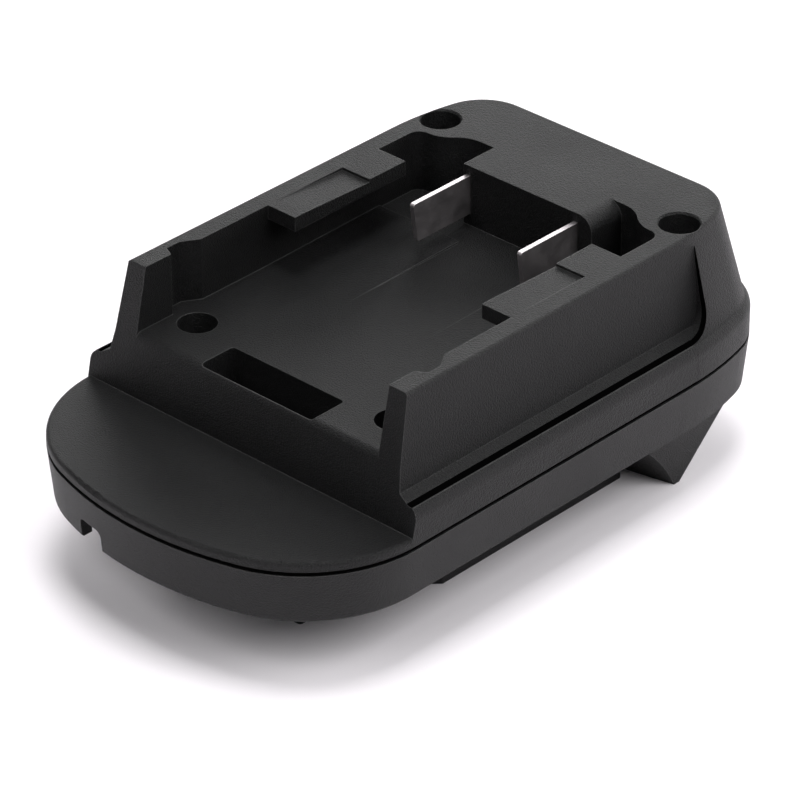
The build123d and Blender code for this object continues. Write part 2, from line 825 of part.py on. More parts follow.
with BuildPart() as lower_housing_whole:
    add(lower_housing.part)
    add(lip_columns.part)

    # Screw bosses up to the upper housing's seats
    for x, y, radius, top in screw_wells:
        rod(x, y, screw_tip - boss_floor, upper_bottom, boss_radius)
    for x, y, radius, top in screw_wells:
        rod(x, y, screw_tip, upper_bottom + overrun, screw_radius + thread_clearance, mode=Mode.SUBTRACT)

    # Guide posts of the latch, each with a collar that the latch comes to rest above
    for side in (1, -1):
        rod(side * post_x, post_y, deck_top - wall, deck_top + latch_seat_height, post_radius + post_collar)
        rod(side * post_x, post_y, deck_top, spring_top, post_radius)
        rod(
            side * post_x,
            post_y,
            spring_top + bridge_thickness - small_screw_length,
            spring_top + overrun,
            small_screw_radius + thread_clearance,
            mode=Mode.SUBTRACT,
        )

    # Key channel in the tower's sole, and the opening for the hook
    box(
        -key_half_width,
        key_half_width,
        tower_front_y - overrun,
        hook_y + hook_length + latch_clearance,
        -overrun,
        key_depth,
        mode=Mode.SUBTRACT,
    )
    box(
        -latch_arm_half_width - latch_clearance,
        latch_arm_half_width + latch_clearance,
        hook_y - latch_clearance,
        hook_y + hook_length + latch_clearance,
        0,
        key_floor + overrun,
        mode=Mode.SUBTRACT,
    )

    # Slots for the tool's contacts, open to the front and below
    for x, width in (
        (power_contact_x, power_slot_width),
        (-power_contact_x, power_slot_width),
        (signal_contact_x, signal_slot_width),
        (-signal_contact_x, signal_slot_width),
    ):
        box(
            x - width / 2,
            x + width / 2,
            tower_front_y - overrun,
            carrier_rear_y - wall,
            -overrun,
            slot_height,
            mode=Mode.SUBTRACT,
        )

    # Notch in the front of the skirt
    with BuildSketch(Plane.XZ.offset(-tower_front_y)) as skirt_notch:
        with Locations((skirt_notch_x, skirt_bottom + skirt_notch_height)):
            Rectangle(
                skirt_notch_width, skirt_notch_height + overrun, align=(Align.CENTER, Align.MAX)
            )
        fillet(skirt_notch.vertices().group_by(Axis.Y)[-1], skirt_notch_radius)
    extrude(amount=tower_front_y - front_y + overrun, mode=Mode.SUBTRACT)

    # Holes for the board's screws, and the bay of the release button in the rear wall
    for side in (1, -1):
        rod(
            side * board_screw_x,
            board_rear_y - small_screw_head_radius - board_clearance,
            board_top - small_screw_length - board_clearance,
            deck_top + overrun,
            small_screw_radius + thread_clearance,
            mode=Mode.SUBTRACT,
        )
    box(
        -button_half_width - latch_clearance,
        button_half_width + latch_clearance,
        shutter_front_y,
        rear_y + overrun,
        button_bottom_z - latch_clearance,
        tongue_top + overrun,
        mode=Mode.SUBTRACT,
    )
    box(
        -button_half_width - shutter_overlap - latch_clearance,
        button_half_width + shutter_overlap + latch_clearance,
        shutter_front_y - latch_clearance,
        rear_inner_y,
        deck_bottom - overrun,
        tongue_top + overrun,
        mode=Mode.SUBTRACT,
    )

lower_housing_whole.part.label = "lower_housing"

# Blade holder: a foot screwed up against the floor, and a web that stands between the blades
holder_middle_y = (holder_front_y + blade_heel_y) / 2
foot_top = floor_underside
foot_bottom = foot_top - holder_foot_thickness
with BuildPart() as blade_holder:
    box(
        -holder_foot_half_width,
        holder_foot_half_width,
        holder_front_y,
        blade_heel_y,
        foot_bottom,
        foot_top,
    )
    box(
        -holder_half_width,
        holder_half_width,
        holder_front_y,
        blade_heel_y,
        foot_top,
        ceiling - holder_clearance,
    )
    for side in (1, -1):
        box(
            side * blade_x - blade_thickness / 2 - holder_clearance,
            side * blade_x + blade_thickness / 2 + holder_clearance,
            tail_front_y - holder_clearance,
            blade_heel_y + overrun,
            foot_bottom - overrun,
            foot_top + overrun,
            mode=Mode.SUBTRACT,
        )
        rod(
            side * holder_screw_x,
            holder_middle_y,
            foot_bottom - overrun,
            foot_top + overrun,
            small_screw_radius + thread_clearance,
            mode=Mode.SUBTRACT,
        )
    web_pockets = GridLocations(holder_half_width, holder_half_width, 2, 1)
    with Locations((0, holder_front_y, (foot_top + ceiling) / 2)):
        with web_pockets:
            Box(
                holder_half_width - wall,
                holder_depth - wall,
                ceiling - foot_top - wall * 2,
                align=(Align.CENTER, Align.MIN, Align.CENTER),
                mode=Mode.SUBTRACT,
            )
blade_holder.part.label = "blade_holder"


def make_blade(side):
    """A blade: an upright plate with a leaning front edge, and a tail that drops to its lead."""
    with BuildPart() as blade:
        with BuildSketch(Plane.YZ.offset(side * blade_x - blade_thickness / 2)) as plate:
            Polygon(
                (blade_tip_y, blade_bottom_z + blade_height),
                (blade_tip_y + blade_lean, blade_bottom_z),
                (tail_front_y, blade_bottom_z),
                (tail_front_y, tail_bottom),
                (blade_heel_y, tail_bottom),
                (blade_heel_y, blade_bottom_z + blade_height),
                align=None,
            )
            fillet(plate.vertices().sort_by(Axis.X)[0:2], blade_thickness / 2)
        extrude(amount=blade_thickness)
    return blade.part


# Small self-tapping screws: two in the blade holder, two in the board and two in the springs' bridge
with BuildPart() as small_screws:
    for side in (1, -1):
        for x, y, seat, way in (
            (side * holder_screw_x, holder_middle_y, foot_bottom, -1),
            (side * board_screw_x, board_rear_y - small_screw_head_radius - board_clearance, board_top, 1),
            (side * post_x, post_y, spring_top + bridge_thickness, 1),
        ):
            head = seat + way * small_screw_head_height
            rod(x, y, min(seat, head), max(seat, head), small_screw_head_radius)
            tip = seat - way * (small_screw_length - thread_clearance)
            rod(x, y, min(seat, tip), max(seat, tip), small_screw_radius)
            box(
                x - small_screw_head_radius,
                x + small_screw_head_radius,
                y - small_screw_slot / 2,
                y + small_screw_slot / 2,
                head - way * small_screw_head_height / 2,
                head + way * overrun,
                mode=Mode.SUBTRACT,
            )
small_screws.part.label = "small_screws"

# Housing screws: pan heads with a cross recess, at the bottom of the four wells
with BuildPart() as housing_screws:
    for x, y, radius, top in screw_wells:
        rod(x, y, screw_tip + thread_clearance, screw_seat, screw_radius)
        rod(x, y, screw_seat, screw_seat + screw_head_height, screw_head_radius)
        head_top = screw_seat + screw_head_height
        for length, width in (
            (cross_recess_length, cross_recess_width),
            (cross_recess_width, cross_recess_length),
        ):
            with Locations((x, y, head_top)):
                Box(
                    length,
                    width,
                    cross_recess_depth,
                    align=(Align.CENTER, Align.CENTER, Align.MAX),
                    mode=Mode.SUBTRACT,
                )
    head_edges = housing_screws.edges().filter_by(GeomType.CIRCLE).group_by(Axis.Z)[-1]
    chamfer(head_edges, screw_head_edge)
housing_screws.part.label = "housing_screws"

# Contacts for the tool
# The carrier fills the tower's nose and has a slot for each clip
clip_places = [
    (power_contact_x, power_slot_width, power_clip_gap),
    (-power_contact_x, power_slot_width, power_clip_gap),
    (signal_contact_x, signal_slot_width, signal_clip_gap),
    (-signal_contact_x, signal_slot_width, signal_clip_gap),
]
carrier_bottom = key_floor + carrier_clearance
carrier_top = deck_top
clip_rear_y = carrier_rear_y - wall - clip_clearance
clip_front_y = clip_rear_y - clip_length
clip_bottom = carrier_bottom + clip_clearance
clip_top = slot_height - clip_top_gap
with BuildPart() as contact_carrier:
    box(
        wall + carrier_clearance - tower_half_width,
        tower_half_width - wall - carrier_clearance,
        carrier_front_y,
        carrier_rear_y,
        carrier_bottom,
        carrier_top,
    )
    for x, width, gap in clip_places:
        box(
            x - width / 2,
            x + width / 2,
            carrier_front_y - overrun,
            carrier_rear_y - wall,
            carrier_bottom - overrun,
            slot_height,
            mode=Mode.SUBTRACT,
        )
        box(
            x - gap / 2 - clip_strip - clip_clearance,
            x + gap / 2 + clip_strip + clip_clearance,
            clip_rear_y - clip_tail_width - clip_clearance,
            carrier_rear_y - wall,
            clip_top,
            carrier_top + overrun,
            mode=Mode.SUBTRACT,
        )
contact_carrier.part.label = "contact_carrier"


def make_clip(x, gap):
    """A clip of spring strip, folded to a U that opens to the front, with a tail up to the board."""
    half = gap / 2 + clip_strip
    with BuildPart() as clip:
        with BuildSketch(Plane.XY.offset(clip_bottom)):
            with Locations((x, clip_front_y)):
                Rectangle(half * 2, clip_length, align=(Align.CENTER, Align.MIN))
                with Locations((0, -clip_strip)):
                    Rectangle(gap, clip_length, align=(Align.CENTER, Align.MIN), mode=Mode.SUBTRACT)
        extrude(amount=clip_top - clip_bottom)
        box(
            x - half,
            x + half,
            clip_rear_y - clip_strip,
            clip_rear_y,
            clip_top,
            board_top + clip_strip,
        )
    return clip.part


positive_clip = make_clip(power_contact_x, power_clip_gap)
positive_clip.label = "positive_clip"
negative_clip = make_clip(-power_contact_x, power_clip_gap)
negative_clip.label = "negative_clip"
with BuildPart() as signal_clips:
    for side in (1, -1):
        add(make_clip(side * signal_contact_x, signal_clip_gap))
signal_clips.part.label = "signal_clips"

# Board over the contacts
with BuildPart() as contact_board:
    with BuildSketch(Plane.XY.offset(board_bottom)) as board_plan:
        with Locations((0, (board_front_y + board_rear_y) / 2)):
            Rectangle(board_half_width * 2, board_length)
        fillet(board_plan.vertices(), tower_edge_radius)
        for x, width, gap in clip_places:
            with Locations((x, clip_rear_y - clip_strip / 2)):
                Rectangle(
                    gap + clip_strip * 2 + board_clearance * 2,
                    clip_strip + board_clearance * 2,
                    mode=Mode.SUBTRACT,
                )
        for side in (1, -1):
            with Locations((side * board_screw_x, board_rear_y - small_screw_head_radius - board_clearance)):
                Circle(small_screw_radius + thread_clearance, mode=Mode.SUBTRACT)
    extrude(amount=board_thickness)
contact_board.part.label = "contact_board"

with BuildPart() as id_resistor:
    box(
        -resistor_length / 2,
        resistor_length / 2,
        board_front_y + resistor_width,
        board_front_y + resistor_width * 2,
        board_top,
        board_top + resistor_height,
    )
id_resistor.part.label = "id_resistor"


def make_lead(side):
    """A lead from a blade's tail, forward under the floor and down on to the board, in one piece."""
    with BuildPart() as lead:
        with BuildLine() as route:
            FilletPolyline(
                (side * blade_x, tail_front_y, lead_height),
                (side * blade_x, lead_drop_y, lead_height),
                (side * blade_x, lead_drop_y, board_top),
                radius=lead_bend_radius,
            )
        with BuildSketch(Plane(origin=route.line @ 0, z_dir=route.line % 0)):
            Circle(lead_radius)
        sweep()
    return lead.part


positive_lead = make_lead(1)
positive_lead.label = "positive_lead"
negative_lead = make_lead(-1)
negative_lead.label = "negative_lead"
print("lead bend radius", lead_bend_radius)

# Sleeves shrunk over the leads where they join the tails
with BuildPart() as lead_sleeves:
    for side in (1, -1):
        with BuildSketch(Plane.XZ.offset(-tail_front_y)):
            with Locations((side * blade_x, lead_height)):
                Circle(lead_radius + sleeve_clearance + sleeve_wall)
                Circle(lead_radius + sleeve_clearance, mode=Mode.SUBTRACT)
    extrude(amount=sleeve_length)
lead_sleeves.part.label = "lead_sleeves"

# Release latch: a plate on the guide posts, an arm forward to the hook and one back to the button
latch_hole = post_radius + post_clearance
with BuildPart() as release_latch:
    with BuildSketch(Plane.XY.offset(latch_bottom)) as latch_plan:
        with Locations((0, (latch_plate_front_y + latch_plate_rear_y) / 2)):
            Rectangle(latch_plate_half_width * 2, latch_plate_rear_y - latch_plate_front_y)
        fillet(latch_plan.vertices(), latch_plate_thickness)
        with Locations((0, (hook_y + shutter_front_y) / 2)):
            Rectangle(latch_arm_half_width * 2, shutter_front_y - hook_y)
        with Locations((post_x, post_y), (-post_x, post_y)):
            Circle(latch_hole, mode=Mode.SUBTRACT)
    extrude(amount=latch_plate_thickness)
    with BuildSketch(Plane.YZ.offset(-latch_arm_half_width)):
        Polygon(
            (hook_y, latch_top),
            (hook_y, hook_stand_off + hook_ramp),
            (hook_y + hook_ramp, hook_stand_off),
            (hook_y + hook_length, hook_stand_off),
            (hook_y + hook_length, latch_top),
            align=None,
        )
    extrude(amount=latch_arm_half_width * 2)
release_latch.part.label = "release_latch"

# Release button: a ribbed face in the rear wall's slot, with a shutter behind it
button_face_y = rear_y - button_set_back
with BuildPart() as release_button:
    box(
        -button_half_width,
        button_half_width,
        shutter_front_y,
        button_face_y,
        button_bottom_z,
        button_bottom_z + button_height,
    )
    fillet(release_button.faces().sort_by(Axis.Y)[-1].edges(), button_ridge_height)
    box(
        -button_half_width - shutter_overlap,
        button_half_width + shutter_overlap,
        shutter_front_y,
        shutter_front_y + shutter_thickness,
        button_bottom_z - shutter_overlap,
        shutter_top,
    )
    ridge_pitch = button_height / (button_ridge_count + 1)
    for number in range(1, button_ridge_count + 1):
        ridge_z = button_bottom_z + number * ridge_pitch
        box(
            button_height / 2 - button_half_width,
            button_half_width - button_height / 2,
            button_face_y - button_ridge_width,
            button_face_y + button_ridge_height,
            ridge_z - button_ridge_width / 2,
            ridge_z + button_ridge_width / 2,
        )
release_button.part.label = "release_button"

# Bridge over the guide posts, which the springs press up against
with BuildPart() as latch_bridge:
    with BuildSketch(Plane.XY.offset(spring_top)) as bridge_plan:
        with Locations((0, post_y)):
            SlotOverall(bridge_half_width * 2, bridge_depth)
        with Locations((post_x, post_y), (-post_x, post_y)):
            Circle(small_screw_radius + thread_clearance, mode=Mode.SUBTRACT)
    extrude(amount=bridge_thickness)
latch_bridge.part.label = "latch_bridge"


def make_spring(side):
    """The envelope of a compression spring round a guide post, as a plain sleeve."""
    inner_radius = post_radius + spring_inner_clearance
    with BuildPart() as spring:
        rod(side * post_x, post_y, latch_top, spring_top, inner_radius + spring_wire)
        rod(
            side * post_x,
            post_y,
            latch_top - overrun,
            spring_top + overrun,
            inner_radius,
            mode=Mode.SUBTRACT,
        )
    return spring.part


latch_spring_right = make_spring(1)
latch_spring_right.label = "latch_spring_right"
latch_spring_left = make_spring(-1)
latch_spring_left.label = "latch_spring_left"

positive_blade = make_blade(1)
positive_blade.label = "positive_blade"
negative_blade = make_blade(-1)
negative_blade.label = "negative_blade"

pieces = [
    upper_housing.part,
    lower_housing_whole.part,
    blade_holder.part,
    positive_blade,
    negative_blade,
    small_screws.part,
    housing_screws.part,
    contact_carrier.part,
    positive_clip,
    negative_clip,
    signal_clips.part,
    contact_board.part,
    id_resistor.part,
    positive_lead,
    negative_lead,
    lead_sleeves.part,
    release_latch.part,
    release_button.part,
    latch_bridge.part,
    latch_spring_right,
    latch_spring_left,
]
os.makedirs("parts", exist_ok=True)
for piece in pieces:
    export_step(piece, f"parts/{piece.label}.step")
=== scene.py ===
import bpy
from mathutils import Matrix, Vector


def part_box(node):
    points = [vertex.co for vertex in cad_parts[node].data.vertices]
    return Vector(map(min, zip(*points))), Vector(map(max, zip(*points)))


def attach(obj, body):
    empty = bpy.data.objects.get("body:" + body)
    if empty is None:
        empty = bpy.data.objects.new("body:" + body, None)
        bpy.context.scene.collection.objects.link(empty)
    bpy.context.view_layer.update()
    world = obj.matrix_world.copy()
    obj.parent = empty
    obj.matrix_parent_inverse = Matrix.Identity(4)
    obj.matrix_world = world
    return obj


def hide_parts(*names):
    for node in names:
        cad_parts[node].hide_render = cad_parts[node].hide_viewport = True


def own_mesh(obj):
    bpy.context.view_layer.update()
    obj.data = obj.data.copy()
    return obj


bl_info = {
    "name": "Tool battery adapter",
    "version": (1, 0, 0),
    "blender": (4, 5, 0),
    "location": "View3D > Sidebar > Adapter",
    "description": "Dresses the battery adapter, adds its small fittings and sets its studio",
    "category": "Object",
}

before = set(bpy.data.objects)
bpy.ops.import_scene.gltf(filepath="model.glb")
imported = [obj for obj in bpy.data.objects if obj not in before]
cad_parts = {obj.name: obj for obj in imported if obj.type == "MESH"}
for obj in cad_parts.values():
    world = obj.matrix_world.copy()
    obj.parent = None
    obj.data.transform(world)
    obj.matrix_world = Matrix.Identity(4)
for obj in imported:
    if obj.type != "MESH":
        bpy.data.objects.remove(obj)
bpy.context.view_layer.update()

from math import cos, pi, radians, sin

import bmesh
import bpy
import numpy as np
from mathutils import Matrix, Vector

MM = 0.001

# Spark texture, in millimetres: depth of the grain, and width of the duller and glossier patches
GRAIN_DEPTH = 0.36
PATCH_WIDTH = 18.0
# Cosine of the turn that a soft edge gives the surface, where its glossier line with a painted
# highlight starts and is full
POLISH_AND_HIGHLIGHT_START = 0.985
POLISH_AND_HIGHLIGHT_FULL = 0.8
# Painted highlight: the lighter colour laid along soft edges, where light catches them
PAINTED_EDGE_HIGHLIGHT = "#4A4A4A"
RUBBED_ROUGH_SHARE = 0.7
# Colour of the grain's pits and peaks, as shares of the nylon's own
PIT_SHARE = 0.3
PEAK_SHARE = 1.7
# Orange peel: its width in millimetres, and its colours as shares of the plastic's own
PEEL_WIDTH = 1.6
PEEL_DARK_SHARE = 0.92
PEEL_LIGHT_SHARE = 1.08
# The part of a noise's range that a spread of roughness follows
NOISE_LOW = 0.3
NOISE_HIGH = 0.7


def colour(hex_text):
    """An sRGB hex value as the linear colour that the shaders take."""
    channels = [int(hex_text[i:i + 2], 16) / 255 for i in (1, 3, 5)]
    linear = [c / 12.92 if c <= 0.04045 else ((c + 0.055) / 1.055) ** 2.4 for c in channels]
    return (*linear, 1.0)


def shade(hex_text, share):
    """A hex colour made darker or lighter by a share."""
    return (*(c * share for c in colour(hex_text)[:3]), 1.0)


def node(tree, kind, settings=None, **links):
    """Adds a node. Settings are its own values, and links are values or sockets for its inputs.

    A link's key is the input's name with _ for each space, or _ and a number for its place.
    """
    made = tree.nodes.new(kind)
    for name, value in (settings or {}).items():
        setattr(made, name, value)
    for name, value in links.items():
        key = int(name[1:]) if name[0] == "_" and name[1:].isdigit() else name.replace("_", " ")
        if isinstance(value, bpy.types.NodeSocket):
            tree.links.new(value, made.inputs[key])
        else:
            made.inputs[key].default_value = value
    return made


def noise(tree, place, width_mm, detail, roughness=0.5):
    """The value of a noise whose forms are as wide as the millimetres given."""
    made = node(
        tree,
        "ShaderNodeTexNoise",
        Vector=place.outputs["Object"],
        Scale=1 / (width_mm * MM),
        Detail=detail,
        Roughness=roughness,
    )
    return made.outputs["Fac"]


def spread(tree, value, middle, reach):
    """A roughness that follows a noise's value, by its reach to either side of its middle."""
    made = node(
        tree,
        "ShaderNodeMapRange",
        Value=value,
        From_Min=NOISE_LOW,
        From_Max=NOISE_HIGH,
        To_Min=middle - reach,
        To_Max=middle + reach,
    )
    return made.outputs["Result"]


def new_material(name):
    """An empty material and its node tree."""
    material = bpy.data.materials.new(name)
    material.use_nodes = True
    material.node_tree.nodes.clear()
    return material, material.node_tree


def close(tree, shader):
    """Leads a shader to the material's output."""
    node(tree, "ShaderNodeOutputMaterial", Surface=shader.outputs[0])


def spark_textured_nylon(name, hex_text, rough, grain_mm, gloss, edge_mm):
    """Glass-filled nylon from a spark-eroded mould: a dull black with a fine even grain.

    Its edges are soft and slightly polished by handling, and a lighter line is painted along them as
    a highlight.
    """
    material, tree = new_material(name)
    place = node(tree, "ShaderNodeTexCoord")
    grain = noise(tree, place, grain_mm, detail=2.0, roughness=0.6)
    patches = noise(tree, place, PATCH_WIDTH, detail=3.0, roughness=0.55)
    edges = node(tree, "ShaderNodeBevel", {"samples": 8}, Radius=edge_mm * MM)
    flat = node(tree, "ShaderNodeNewGeometry")
    turn = node(
        tree,
        "ShaderNodeVectorMath",
        {"operation": "DOT_PRODUCT"},
        _0=edges.outputs["Normal"],
        _1=flat.outputs["Normal"],
    )
    # Mask of soft edges: it drives a glossier polish and a painted highlight
    polish_and_highlight = node(
        tree,
        "ShaderNodeMapRange",
        Value=turn.outputs["Value"],
        From_Min=POLISH_AND_HIGHLIGHT_START,
        From_Max=POLISH_AND_HIGHLIGHT_FULL,
        To_Min=0.0,
        To_Max=1.0,
    )
    bump = node(
        tree,
        "ShaderNodeBump",
        Strength=1.0,
        Distance=GRAIN_DEPTH * MM,
        Height=grain,
        Normal=edges.outputs["Normal"],
    )
    dull = node(
        tree,
        "ShaderNodeMix",
        {"data_type": "FLOAT"},
        _0=polish_and_highlight.outputs["Result"],
        _2=spread(tree, patches, rough, reach=0.03),
        _3=rough * RUBBED_ROUGH_SHARE,
    )
    tint = node(
        tree,
        "ShaderNodeMix",
        {"data_type": "RGBA"},
        _0=grain,
        _6=shade(hex_text, PIT_SHARE),
        _7=shade(hex_text, PEAK_SHARE),
    )
    # Painted highlight: a lighter colour laid over the grain along soft edges
    edge_highlighted = node(
        tree,
        "ShaderNodeMix",
        {"data_type": "RGBA"},
        _0=polish_and_highlight.outputs["Result"],
        _6=tint.outputs[2],
        _7=colour(PAINTED_EDGE_HIGHLIGHT),
    )
    surface = node(
        tree,
        "ShaderNodeBsdfPrincipled",
        Base_Color=edge_highlighted.outputs[2],
        Roughness=dull.outputs[0],
        IOR=1.5,
        Specular_IOR_Level=gloss,
        Normal=bump.outputs["Normal"],
    )
    close(tree, surface)
    return material


def satin_plate(name, hex_text, rough, cloud_mm, edge_mm=0.12):
    """Strip, screws or wire in a satin finish: one soft colour, cloudy gloss and rounded edges."""
    material, tree = new_material(name)
    place = node(tree, "ShaderNodeTexCoord")
    clouds = noise(tree, place, cloud_mm, detail=3.0)
    edges = node(tree, "ShaderNodeBevel", {"samples": 6}, Radius=edge_mm * MM)
    bump = node(
        tree,
        "ShaderNodeBump",
        Strength=0.1,
        Distance=0.02 * MM,
        Height=clouds,
        Normal=edges.outputs["Normal"],
    )
    surface = node(
        tree,
        "ShaderNodeBsdfPrincipled",
        Base_Color=colour(hex_text),
        Metallic=1.0,
        Roughness=spread(tree, clouds, rough, reach=0.04),
        Normal=bump.outputs["Normal"],
    )
    close(tree, surface)
    return material


def moulded_plastic(name, hex_text, rough, edge_mm=0.15, gloss=0.5):
    """Plastic from a polished mould: an even colour, a slight orange peel and a soft sheen.

    With a gloss of 0 it gives nothing back, and with a near-black colour it stands as painted deep
    shadow.
    """
    material, tree = new_material(name)
    place = node(tree, "ShaderNodeTexCoord")
    peel = noise(tree, place, PEEL_WIDTH, detail=1.0)
    edges = node(tree, "ShaderNodeBevel", {"samples": 4}, Radius=edge_mm * MM)
    bump = node(
        tree,
        "ShaderNodeBump",
        Strength=0.08,
        Distance=0.05 * MM,
        Height=peel,
        Normal=edges.outputs["Normal"],
    )
    tint = node(
        tree,
        "ShaderNodeMix",
        {"data_type": "RGBA"},
        _0=peel,
        _6=shade(hex_text, PEEL_DARK_SHARE),
        _7=shade(hex_text, PEEL_LIGHT_SHARE),
    )
    surface = node(
        tree,
        "ShaderNodeBsdfPrincipled",
        Base_Color=tint.outputs[2],
        Roughness=rough,
        Specular_IOR_Level=gloss,
        Normal=bump.outputs["Normal"],
    )
    close(tree, surface)
    return material


def dress(names, material):
    """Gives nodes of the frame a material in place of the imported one."""
    for name in names:
        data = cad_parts[name].data
        data.materials.clear()
        data.materials.append(material)


class AdapterFinish(bpy.types.PropertyGroup):
    shell_colour: bpy.props.StringProperty(
        name="Shell colour", description="sRGB hex colour of both housings", default="#080809"
    )
    shell_roughness: bpy.props.FloatProperty(
        name="Shell roughness",
        description="How dull the spark texture is",
        default=0.5,
        subtype="FACTOR",
    )
    grain: bpy.props.FloatProperty(
        name="Grain", description="Size of the mould's spark grain in millimetres", default=0.3
    )
    edge_radius: bpy.props.FloatProperty(
        name="Edge radius", description="Softness of the moulded edges in millimetres", default=0.3
    )


class AdapterStudio(bpy.types.PropertyGroup):
    azimuth: bpy.props.FloatProperty(
        name="Azimuth",
        description="Turn of the view round the part",
        default=radians(43.2209),
        unit="ROTATION",
    )
    elevation: bpy.props.FloatProperty(
        name="Elevation",
        description="Height of the view",
        default=radians(31.3368),
        unit="ROTATION",
    )
    roll: bpy.props.FloatProperty(
        name="Roll",
        description="Turn of the camera about its own axis",
        default=radians(-0.1684),
        unit="ROTATION",
    )
    lens: bpy.props.FloatProperty(
        name="Lens",
        description="Focal length on a 36 mm sensor",
        default=214.18,
        unit="CAMERA",
    )
    place: bpy.props.FloatVectorProperty(
        name="Place",
        description="Where the camera stands",
        default=(516.201 * MM, -547.051 * MM, 479.127 * MM),
        subtype="TRANSLATION",
        precision=6,
    )


class ADAPTER_OT_dress_shells(bpy.types.Operator):
    """Gives both housings and the release button their grained black nylon"""

    bl_idname = "adapter.dress_shells"
    bl_label = "Dress the shells"

    def execute(self, context):
        finish = context.scene.adapter_finish
        edge = finish.edge_radius
        # The shoulders have nearly no edge radius, so that their borders show no painted edge
        # highlight
        for name, gloss, edge_mm, nodes in (
            ("spark_textured_black_nylon", 0.29, edge, ["upper_housing"]),
            ("skirt_black_nylon", 0.34, edge, ["lower_housing", "release_button"]),
            ("shoulder_black_nylon", 0.29, 0.02, []),
        ):
            nylon = spark_textured_nylon(
                name,
                finish.shell_colour,
                finish.shell_roughness,
                finish.grain,
                gloss,
                edge_mm,
            )
            dress(nodes, nylon)
        return {"FINISHED"}


class ADAPTER_OT_dress_inside(bpy.types.Operator):
    """Gives the holder, carrier, bridge, latch, board and leads their plastics"""

    bl_idname = "adapter.dress_inside"
    bl_label = "Dress the inside"

    def execute(self, context):
        dress(
            ["blade_holder", "contact_carrier", "latch_bridge"],
            moulded_plastic("black_polyamide", "#1E1E20", 0.4),
        )
        dress(["release_latch"], moulded_plastic("grey_acetal", "#3A3B3E", 0.35))
        for node_name, name, hex_text, rough in (
            ("contact_board", "green_solder_mask", "#1F5A34", 0.3),
            ("id_resistor", "black_glaze", "#18181A", 0.25),
            ("positive_lead", "red_silicone_insulation", "#8E1B18", 0.45),
            ("negative_lead", "black_silicone_insulation", "#161617", 0.45),
            ("lead_sleeves", "shrunk_polyolefin", "#1B1B1C", 0.55),
        ):
            dress([node_name], moulded_plastic(name, hex_text, rough, edge_mm=0.05))
        return {"FINISHED"}


class ADAPTER_OT_dress_metals(bpy.types.Operator):
    """Gives the blades, clips, screws and springs their metals"""

    bl_idname = "adapter.dress_metals"
    bl_label = "Dress the metals"

    def execute(self, context):
        dress(
            ["positive_blade", "negative_blade", "positive_clip", "negative_clip", "signal_clips"],
            satin_plate("satin_nickel_strip", "#CFC9CB", 0.43, 3.0),
        )
        dress(
            ["small_screws", "housing_screws"],
            satin_plate("black_oxide_steel", "#2C2A28", 0.42, 0.8),
        )
        dress(
            ["latch_spring_left", "latch_spring_right"],
            satin_plate("drawn_spring_wire", "#A9A9A7", 0.3, 1.0, edge_mm=0.05),
        )
        return {"FINISHED"}


# Lines of the housings that the fittings below follow, in millimetres.
# An arc of the right half of the outline is its centre's X and Y, and its radius.
HALF_WIDTH = 41.0
END_Y = 66.4
FRONT_ARC = (0.0, 5.6, 72.0)
FRONT_CORNER = (14.0, -37.1678, 27.0)
SIDE_ARC = (-29.0, 36.8, 70.0)
REAR_CORNER = (22.9491, 50.0, 16.4)
BUTTON_EDGE = 14.5
SEAM_TOP = 24.55
# The raised body: its foot, the flange's round there, and the drafted wall above
BODY_FOOT = 29.8
FLANGE_ROUND = 2.4
FOOT_INSET = 0.64
DRAFT = 0.26667
# The side panel: its shelf, with a flat and then a slope, and its ends
SHELF = 32.0
SHELF_INSET = 1.53
SHELF_FLAT = 0.67
SHELF_SLOPE = 0.583
PANEL_FRONT = -36.9
PANEL_END = 44.2
PANEL_CORNER = 5.5
PANEL_BACK = 5.5
PANEL_LEAN = 0.09
PANEL_TOP = 50.2

# The shoulders: how far they stand proud, how far their borders dip, their thickness and extent,
# the rows just below and above the shelf, and how far past the panel's end their backs stay deep
SHEET_RISE = 0.02
SHEET_DIP = 0.08
SHEET_DEPTH = 0.5
SHEET_FOOT = SEAM_TOP + 0.33
SHEET_REAR = 57.0
SHELF_BELOW = SHELF - 0.03
SHELF_ABOVE = SHELF + 0.01
PANEL_END_ROOM = 0.3
# Their rows up the flange, its round, the panel's corner and its end, and their columns
FLANGE_ROWS, ROUND_ROWS, CORNER_ROWS, END_ROWS = 6, 14, 22, 8
SHEET_COLUMNS = 56

# The dark sheet painted as shadow in the foot grooves: its widths, its lift and depth, its gap to
# the panel's end, its top, and its rows along the shelf, round the corner and up the end
GROOVE_OVERLAP = 0.1
GROOVE_WIDTH = 1.15
GROOVE_END_WIDTH = 0.9
GROOVE_TIP_WIDTH = 0.12
GROOVE_MIDDLE_SHARE = 0.58
GROOVE_LIFT = 0.03
GROOVE_DEPTH = 0.1
GROOVE_GAP = 0.05
GROOVE_TOP = PANEL_TOP - 1.2
STRAIGHT_ROWS, TURN_ROWS, CLIMB_ROWS = 40, 20, 12

# The seam's dark band, painted shadow in the gap between the housings, and its rows along the
# outline's four arcs from the front to the rear
SEAM_HEIGHT = 0.34
SEAM_PROUD = 0.005
SEAM_DEPTH = 0.1
ARC_ROWS = (24, 40, 14, 30)

# The latch's springs: wire, turns, steps in a turn, sides of the wire, and rise of an end turn as a
# share of the wire
SPRING_WIRE = 0.6
SPRING_TURNS = 8
SPRING_STEPS = 32
WIRE_SIDES = 12
CLOSED_PITCH_SHARE = 1.04

SHELL_BODY = "shell"
SHARP_ANGLE = radians(32)


